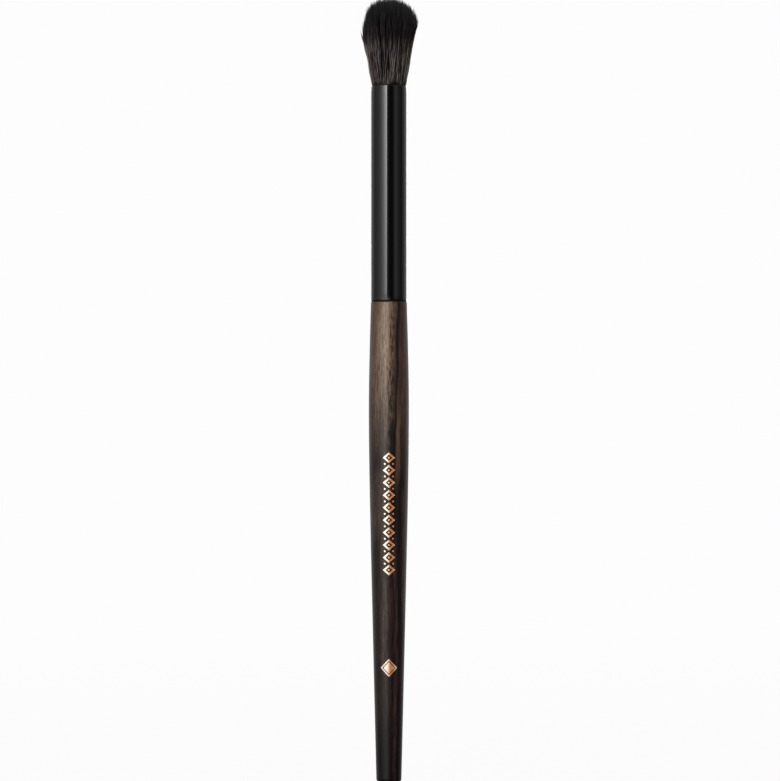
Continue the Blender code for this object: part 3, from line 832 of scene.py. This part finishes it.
def hair_finish(name, hair, dark, light):
    """Soft dark hair, grey brown by the ferrule and nearly black above. Colour goes by the strand map: height
    runs up, and the place round the tuft runs across, where fine noise makes dark and light locks, with these
    shares of the colour, and coarse noise makes browner ones. Just above the mouth the hair is nearly black,
    partly dark binder and partly painted shade in the gap under the lip. A few light lines in the dome are
    painted glints, which stand in for light caught by single hairs. The hair on both flanks is painted pale,
    a painted rim light for the light that the edges of the tuft catch."""
    finish = new_finish(name)
    place = finish.node("ShaderNodeUVMap", {"uv_map": STRAND_MAP}, {})
    around, height, _ = finish.split(place)
    lift = height + 0.32 * (finish.noise(place, (150, 3, 1)) - 0.5)
    lift = lift + 0.05 * finish.band(around, 0.66, 0.80, 0.06)
    root, middle, tip = hair.root_colour, hair.middle_colour, hair.tip_colour
    # The first stops paint the hair just above the mouth nearly black: partly dark binder, partly painted
    # shade in the gap under the lip.
    body = finish.ramp(lift, [
        (0.00, scaled(root, 0.05)), (0.03, scaled(root, 0.05)), (0.05, root), (0.20, root), (0.455, middle),
        (0.54, tip), (1.00, tip),
    ])
    locks = finish.spots(place, (190, 2.6, 1), 0.48, 0.54, detail=1)
    brown = 0.7 * finish.spots(place, (9, 2.6, 1), 0.55, 0.72) * finish.fall(height, 0.42, 0.6)
    left = 1.5 * finish.band(around, 0.44, 0.55, 0.035)
    right = 1.6 * (1 - finish.band(around, 0.0, 1.0, 0.13)) * finish.fall(height, 0.3, 0.55)
    # Painted rim light: the flanks are painted pale low down, where the edges of the tuft catch light.
    painted_rim_light = (left + right) * finish.rise(lift, 0.03, 0.09) * finish.fall(lift, 0.38, 0.58)
    patch = 0.7 * finish.band(around, 0.5, 0.61, 0.03) * finish.band(height, 0.31, 0.48, 0.05)
    # Painted glints: light lines of colour in the dome stand in for light caught by single hairs.
    glints = finish.spots(place, (170, 2, 1), 0.62, 0.68, detail=1) * finish.rise(lift, 0.5, 0.66)
    body = finish.mix(brown, body, hair.brown_colour)
    body = finish.mix(patch, body, (0.13, 0.08, 0.07))
    body = finish.toned(body, locks, dark, light)
    body = finish.mix(glints, body, (0.06, 0.05, 0.066))
    # The pale colour of the painted rim light, darker on the dark locks.
    pale = finish.mix(locks, scaled(hair.rim_light_colour, 0.5), hair.rim_light_colour)
    return finish.shade({
        "Base Color": finish.mix(painted_rim_light, body, pale),
        "Roughness": 0.45,
        "Specular IOR Level": 0.3,
    })


def resin_finish():
    """Amber set resin, cloudy with trapped hair ends."""
    finish = new_finish("set_resin_amber")
    place = finish.place()
    cloud = finish.noise(place, (700, 700, 300), detail=3)
    ends = finish.spots(place, (5000, 5000, 90), 0.55, 0.7, detail=1)
    amber = finish.mix(cloud, (0.42, 0.25, 0.08), (0.24, 0.13, 0.035))
    tint = finish.mix(0.6 * ends, amber, (0.03, 0.022, 0.018))
    return finish.shade({"Base Color": tint, "Roughness": 0.2 + 0.2 * cloud})


def thread_finish():
    """Waxed linen thread: plies run across it, and the wax makes lighter patches."""
    finish = new_finish("waxed_linen_thread")
    place = finish.place()
    x, y, z = finish.split(place)
    plies = 0.5 + 0.5 * finish.maths("SINE", 90.0 * finish.maths("ARCTAN2", y, x) + 9000.0 * z)
    wax = finish.noise(place, (900, 900, 900))
    flax = finish.mix(plies, (0.42, 0.35, 0.25), (0.66, 0.58, 0.44))
    return finish.shade({
        "Base Color": finish.mix(0.4 * wax, flax, (0.8, 0.75, 0.62)),
        "Roughness": 0.75 - 0.3 * wax,
        "Normal": finish.bump(0.5, 0.03 * MM, plies),
    })


def glue_finish():
    """White wood glue with small bubbles."""
    finish = new_finish("white_wood_glue")
    place = finish.place()
    cells = finish.node("ShaderNodeTexVoronoi", {}, {"Vector": place, "Scale": 2600.0})
    bubbles = finish.rise(cells, 0.12, 0.22)
    tint = finish.noise(place, (500, 500, 200))
    paste = finish.mix(tint, (0.8, 0.78, 0.7), (0.68, 0.64, 0.54))
    paste = finish.mix(bubbles, (0.5, 0.46, 0.38), paste)
    return finish.shade({"Base Color": paste, "Roughness": 0.4 + 0.2 * tint})


def floor_finish(stage):
    """A pale floor. To the camera it is mostly the backdrop's white, with a share of real shading that keeps
    the brush's shadow and fades out at the rim; every other ray meets a plain pale surface."""
    finish = new_finish("pale_floor")
    place = finish.place()
    away = finish.node("ShaderNodeVectorMath", {"operation": "LENGTH"}, {0: place}, take="Value")
    seen = finish.node("ShaderNodeLightPath", {}, {}, take="Is Camera Ray")
    shading = stage.shadow_share * finish.fall(away, 0.15 * stage.floor_radius, 0.8 * stage.floor_radius)
    pale = finish.mix(finish.noise(place, (40, 40, 40)), (0.80, 0.80, 0.79), (0.83, 0.83, 0.82))
    matt = finish.node("ShaderNodeBsdfDiffuse", {}, {"Color": pale})
    white = finish.glow((stage.backdrop,) * 3, 1.0)
    return finish.end(finish.node("ShaderNodeMixShader", {}, {0: seen * (1 - shading), 1: matt, 2: white}))


# Stage

def lay_floor(stage, rings=12, sides=96):
    """A round floor under the brush: rings of growing radius about the origin."""
    radius = stage.floor_radius * np.linspace(0, 1, rings + 1)[1:, None] ** 1.5
    side = np.arange(sides)
    flat = radius[..., None] * circle(side * math.tau / sides)
    points = np.concatenate([flat, 0 * flat[..., :1]], -1).reshape(-1, 3)
    quads = ring_quads(rings, sides)[..., TURNED_ROUND].reshape(-1, 4)
    fan = np.stack([0 * side + len(points), side, (side + 1) % sides], -1)
    points = np.concatenate([points, [(0.0, 0.0, 0.0)]])
    floor = add_piece("floor", points, [quads, fan], {}, floor_finish(stage))
    floor.visible_glossy = False


def wall_ring(finish, turn, walls):
    """How bright a ring of walls is at each angle from the camera's side."""
    stops = [((degrees + 180) / 360, strength / WALL_SCALE) for degrees, strength in walls]
    return WALL_SCALE * finish.ramp(turn / math.tau + 0.5, stops)


def light_world(scene, stage):
    """The studio's walls. To the camera and through glass they are plain white. Other rays see white walls
    behind the brush, a wide reflector on the left that reaches further round low down, a weak panel on the
    right and the dark room behind the camera."""
    scene.world = bpy.data.worlds.new("white_studio")
    finish = Finish(scene.world, "ShaderNodeOutputWorld")
    x, y, z = finish.split(finish.node("ShaderNodeTexCoord", {}, {}, take="Generated"))
    turn = finish.maths("ARCTAN2", x, 0.0 - y)
    high, low = wall_ring(finish, turn, UPPER_WALLS), wall_ring(finish, turn, LOWER_WALLS)
    front = finish.band(turn, -1.9, 0.6, 0.4)
    dimming = 0.1 + 1.1 * finish.rise(z, -0.19, -0.08)
    low = low * (0.4 + 0.6 * finish.rise(z, -0.2, -0.06)) * (1 + front * (dimming - 1))
    around = low + finish.rise(z, -0.1, -0.02) * (high - low)
    walls = around + finish.rise(z, 0.45, 0.85) * (0.9 - around)
    rays = finish.node("ShaderNodeLightPath", {}, {}, take=("Is Camera Ray", "Is Transmission Ray"))
    plain = finish.maths("MAXIMUM", *rays)
    strength = plain * stage.backdrop + (1 - plain) * walls * (2 * stage.surround)
    finish.end(finish.node("ShaderNodeBackground", {}, {"Color": opaque(WHITE), "Strength": strength}))


def aimed_lamp(name, azimuth, height, width, tall, power, distance=0.9):
    """An area lamp at an azimuth from the camera's side, positive to the right, facing the brush's axis."""
    turn = math.radians(azimuth)
    data = bpy.data.lights.new(name, "AREA")
    data.shape = "RECTANGLE"
    data.size = width
    data.size_y = tall
    data.energy = power
    lamp = bpy.data.objects.new(name, data)
    lamp.location = (distance * math.sin(turn), -distance * math.cos(turn), height)
    lamp.rotation_euler = (math.pi / 2, 0.0, turn)
    lamp.visible_camera = False
    bpy.context.scene.collection.objects.link(lamp)
    return data


def hang_key_lamp(stage):
    """The left softbox. It grows brighter towards its right edge, by e / (1 + 1.2 e) with
    e = exp(4.9 across - 4.1), and upwards from its lower edge."""
    lamp = aimed_lamp("key_softbox", azimuth=-33.8, height=0.32, width=0.7, tall=0.58, power=stage.key_power)
    finish = Finish(lamp, "ShaderNodeOutputLight")
    across, up, _ = finish.split(finish.node("ShaderNodeNewGeometry", {}, {}, take="Parametric"))
    growth = finish.maths("EXPONENT", 4.9 * across - 4.1)
    rising = finish.node("ShaderNodeClamp", {}, {"Value": up / 0.4, "Min": 0.0, "Max": 1.0})
    finish.end(finish.glow(WHITE, growth / (1 + 1.2 * growth) * rising))


def hang_back_lamp():
    """A narrow softbox straight behind the brush, which lights its back and the tips of the hair. It is so
    far round that the front shows no reflection of it."""
    aimed_lamp("back_softbox", azimuth=178.0, height=0.3, width=0.18, tall=0.5, power=3.0)


def place_camera(scene, stage):
    """The camera stands level in front of the brush, at half its height."""
    data = bpy.data.cameras.new("camera")
    data.lens = stage.lens
    data.sensor_width = 36.0
    data.clip_start = 0.01
    data.clip_end = 100.0
    camera = bpy.data.objects.new("camera", data)
    camera.location = (stage.camera_side, -stage.camera_distance, stage.camera_height)
    camera.rotation_euler = (math.pi / 2, 0.0, 0.0)
    scene.collection.objects.link(camera)
    scene.camera = camera


# Operators

class BLENDING_BRUSH_OT_handle(bpy.types.Operator):
    """Build the turned wooden handle"""

    bl_idname = "blending_brush.handle"
    bl_label = "Handle"

    def execute(self, context):
        handle = context.scene.brush_handle
        piece = turned("turned_handle", handle_outline(handle), wood_finish(handle))
        dress(piece, "lacquered_wood", "handle")
        return {"FINISHED"}


class BLENDING_BRUSH_OT_ferrule(bpy.types.Operator):
    """Build the gloss black ferrule and the dark line that it sits on"""

    bl_idname = "blending_brush.ferrule"
    bl_label = "Ferrule"

    def execute(self, context):
        ferrule = context.scene.brush_ferrule
        tube = turned("ferrule_tube", ferrule_outline(ferrule), lacquer_finish(ferrule), ring=True)
        dress(tube, "black_lacquer", "ferrule")
        outer, inner = FERRULE_HIGH.x - ferrule.seat_inset, FERRULE_HIGH.x - 1.5 * ferrule.wall
        overlap = 0.02 * MM
        low, high = context.scene.brush_handle.shoulder_height - overlap, FERRULE_LOW.z + overlap
        seat = [(inner, low), (outer, low), (outer, high), (inner, high)]
        dress(turned("seat_line", seat, seat_finish(), sides=96, ring=True), "black_lacquer")
        return {"FINISHED"}


class BLENDING_BRUSH_OT_foil(bpy.types.Operator):
    """Lay the plain copper foil ornament on the front of the handle"""

    bl_idname = "blending_brush.foil"
    bl_label = "Foil ornament"

    def execute(self, context):
        handle, foil = context.scene.brush_handle, context.scene.brush_foil
        lozenges = foil.top - foil.pitch * np.arange(foil.lozenges)
        dots = lozenges[:-1] - foil.pitch / 2
        tail = np.array([foil.tail_height])
        width, height, dot = foil.half_width, foil.half_height, foil.dot_radius
        tail_width, tail_height = TAIL_MIDDLE * foil.tail_width, TAIL_MIDDLE * foil.tail_rise
        parts = [
            film_frames(lozenges, width, height, foil.opening, handle, foil),
            film_fields(lozenges, foil.seed * width, foil.seed * height, False, 0.0, handle, foil),
            film_fields(dots, dot, dot, True, -foil.dot_offset, handle, foil),
            film_fields(dots, dot, dot, True, foil.dot_offset, handle, foil),
            film_frames(tail, foil.tail_width, foil.tail_rise, TAIL_OPENING, handle, foil),
            film_fields(tail, tail_width, tail_height, False, 0.0, handle, foil),
        ]
        starts = np.cumsum([0] + [len(points) for points, quads in parts])
        points = np.concatenate([points for points, quads in parts])
        quads = np.concatenate([quads + start for (part, quads), start in zip(parts, starts)])
        piece = add_piece("foil_ornament", points, [quads], {}, foil_finish(foil))
        piece.data.set_sharp_from_angle(angle=math.radians(35))
        dress(piece, "copper_foil")
        return {"FINISHED"}


class BLENDING_BRUSH_OT_hair(bpy.types.Operator):
    """Build the tuft of hair in four nested layers, with thin locks over them and wisps away from them"""

    bl_idname = "blending_brush.hair"
    bl_label = "Hair"

    def execute(self, context):
        hair = context.scene.brush_hair
        # One hair finish at three levels: darker for the layers underneath, which is painted shade, and
        # lighter for the crossing locks on top, which is painted light.
        under = hair_finish("shaded_under_hair", hair, dark=0.04, light=0.35)
        outer = hair_finish("soft_dark_hair", hair, dark=0.12, light=2.3)
        crossing = hair_finish("lit_crossing_hair", hair, dark=0.1, light=3.2)
        layers = {"hair_core": under, "hair_inner": under, "hair_middle": under, "hair_outer": outer}
        numbers = np.split(np.arange(hair.strands), (hair.strands * LAYER_ENDS).astype(int))
        pieces = [
            strand_tubes(name, *strand_paths(group, hair, LAYER_SEED + layer), hair, layers[name])
            for layer, (name, group) in enumerate(zip(layers, numbers))
        ]
        pieces.append(strand_tubes("hair_cover", *cover_paths(hair), hair, crossing, hair.cover_girth))
        pieces.append(strand_tubes("hair_wisps", *wisp_paths(hair), hair, outer))
        for piece in pieces:
            dress(piece, "dark_hair", "hair_tuft")
        return {"FINISHED"}


class BLENDING_BRUSH_OT_inside(bpy.types.Operator):
    """Give the hidden pieces inside the ferrule their finishes"""

    bl_idname = "blending_brush.inside"
    bl_label = "Pieces inside"

    def execute(self, context):
        finishes = {"root_plug": resin_finish, "root_binding": thread_finish, "tenon_glue": glue_finish}
        for node, finish in finishes.items():
            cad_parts[node].material_slots[0].material = finish()
        return {"FINISHED"}


class BLENDING_BRUSH_OT_stage(bpy.types.Operator):
    """Set up the floor, the white studio, the lamps and the camera"""

    bl_idname = "blending_brush.stage"
    bl_label = "Stage"

    def execute(self, context):
        stage = context.scene.brush_stage
        context.scene.view_settings.view_transform = "Standard"
        lay_floor(stage)
        light_world(context.scene, stage)
        hang_key_lamp(stage)
        hang_back_lamp()
        place_camera(context.scene, stage)
        return {"FINISHED"}


class BLENDING_BRUSH_PT_panel(bpy.types.Panel):
    """Lists the brush's settings and operators"""

    bl_idname = "BLENDING_BRUSH_PT_panel"
    bl_label = "Blending brush"
    bl_space_type = "VIEW_3D"
    bl_region_type = "UI"
    bl_category = "Blending brush"

    def draw(self, context):
        for operator, attribute, group in SECTIONS:
            box = self.layout.box()
            box.operator(operator.bl_idname)
            for name in group.__annotations__ if group else ():
                box.prop(getattr(context.scene, attribute), name)


SECTIONS = (
    (BLENDING_BRUSH_OT_handle, "brush_handle", HandleSettings),
    (BLENDING_BRUSH_OT_ferrule, "brush_ferrule", FerruleSettings),
    (BLENDING_BRUSH_OT_foil, "brush_foil", FoilSettings),
    (BLENDING_BRUSH_OT_hair, "brush_hair", HairSettings),
    (BLENDING_BRUSH_OT_inside, "", None),
    (BLENDING_BRUSH_OT_stage, "brush_stage", StageSettings),
)
SETTINGS = {attribute: group for operator, attribute, group in SECTIONS if group}
CLASSES = (*SETTINGS.values(), *(section[0] for section in SECTIONS), BLENDING_BRUSH_PT_panel)


def register():
    """Registers the classes and hangs the settings on the scene."""
    for item in CLASSES:
        bpy.utils.register_class(item)
    for attribute, group in SETTINGS.items():
        setattr(bpy.types.Scene, attribute, PointerProperty(type=group))


def unregister():
    """Undoes register."""
    for attribute in SETTINGS:
        delattr(bpy.types.Scene, attribute)
    for item in reversed(CLASSES):
        bpy.utils.unregister_class(item)


def main():
    """Builds the brush and its stage."""
    register()
    bpy.ops.blending_brush.handle()
    bpy.ops.blending_brush.ferrule()
    bpy.ops.blending_brush.foil()
    bpy.ops.blending_brush.hair()
    bpy.ops.blending_brush.inside()
    bpy.ops.blending_brush.stage()


if __name__ == "__main__":
    main()
